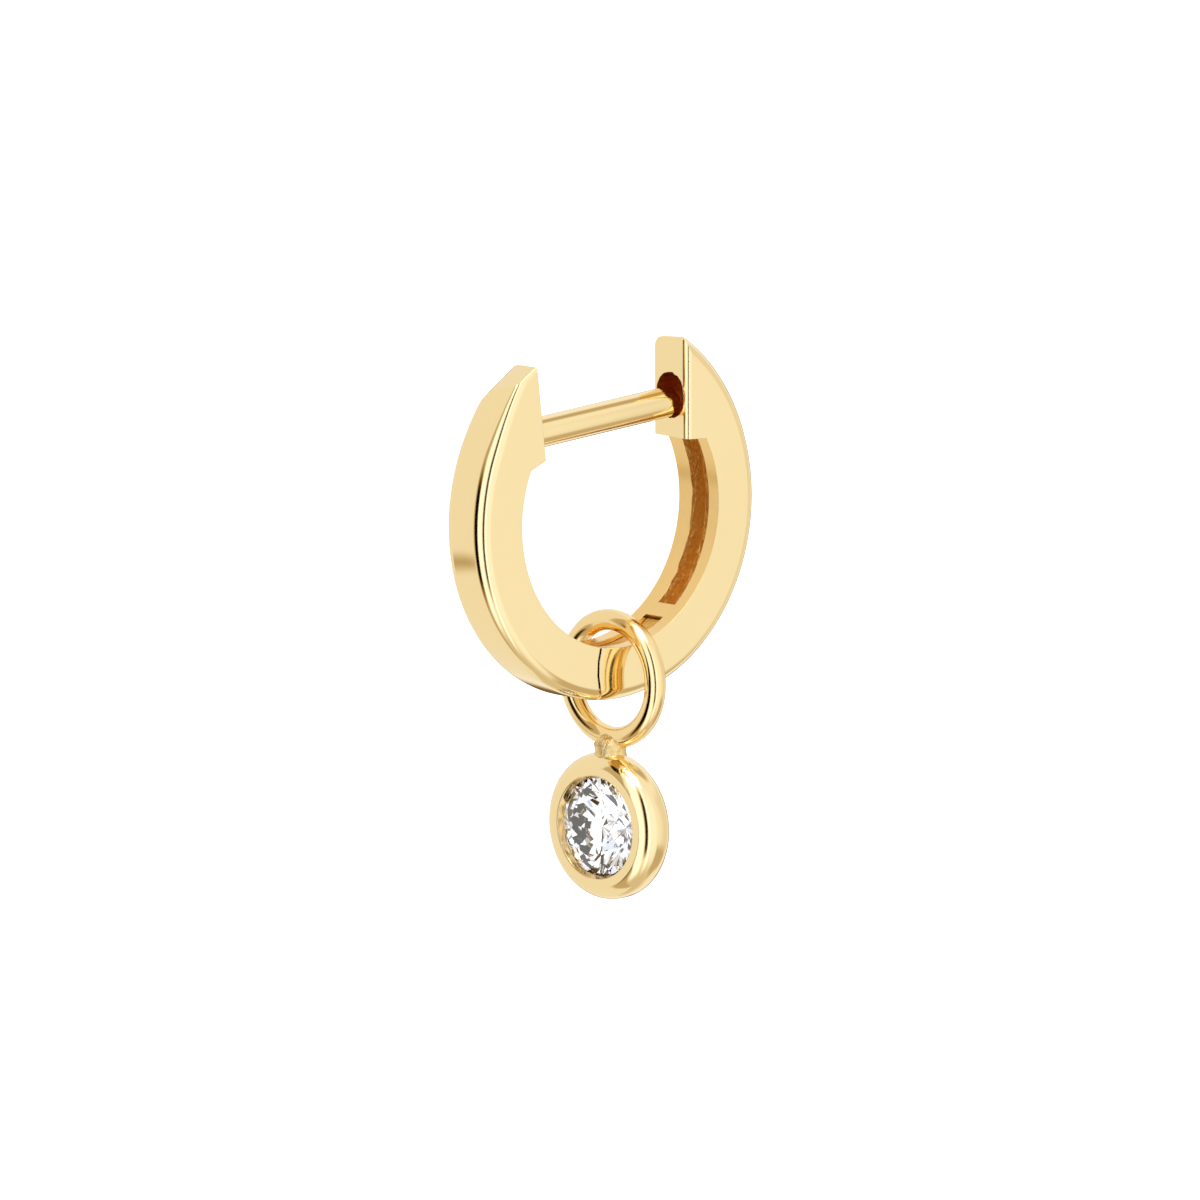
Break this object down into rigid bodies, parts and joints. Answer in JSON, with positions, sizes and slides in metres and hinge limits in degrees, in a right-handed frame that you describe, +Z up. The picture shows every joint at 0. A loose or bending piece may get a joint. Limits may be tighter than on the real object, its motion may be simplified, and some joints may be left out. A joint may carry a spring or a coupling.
{
  "type": "hoop charm earring",
  "caption": "Small hinged hoop earring with a post that closes into a catch, and a round stone in a smooth bezel hanging from it on a ring.",
  "frame": {"origin": "middle of the ear post, on its axis and on the band's middle plane", "axes": "+Z is up as the earring hangs, +X runs from the front half to the back half, +Y runs across the band; the stone faces -X"},
  "size_m": [0.011, 0.0044, 0.0164],
  "materials": {
    "gold": "polished",
    "stone": "polished, faceted"
  },
  "bodies": {
    "front": {"front_half": "gold", "hinge_pin": "gold"},
    "back": {"back_half": "gold"},
    "charm": {"charm_setting": "gold", "diamond": "stone"}
  },
  "joints": [
    {"name": "hoop_hinge", "type": "hinge", "parent": "front", "child": "back", "pos_m": [0.00146, 0, -0.0073], "axis": [0, 1, 0], "range_deg": [0, 35]},
    {"name": "charm_swing", "type": "hinge", "parent": "back", "child": "charm", "pos_m": [0.00067, 0, -0.00775], "axis": [0.999, 0.0436, 0], "range_deg": [-60, 60]}
  ]
}
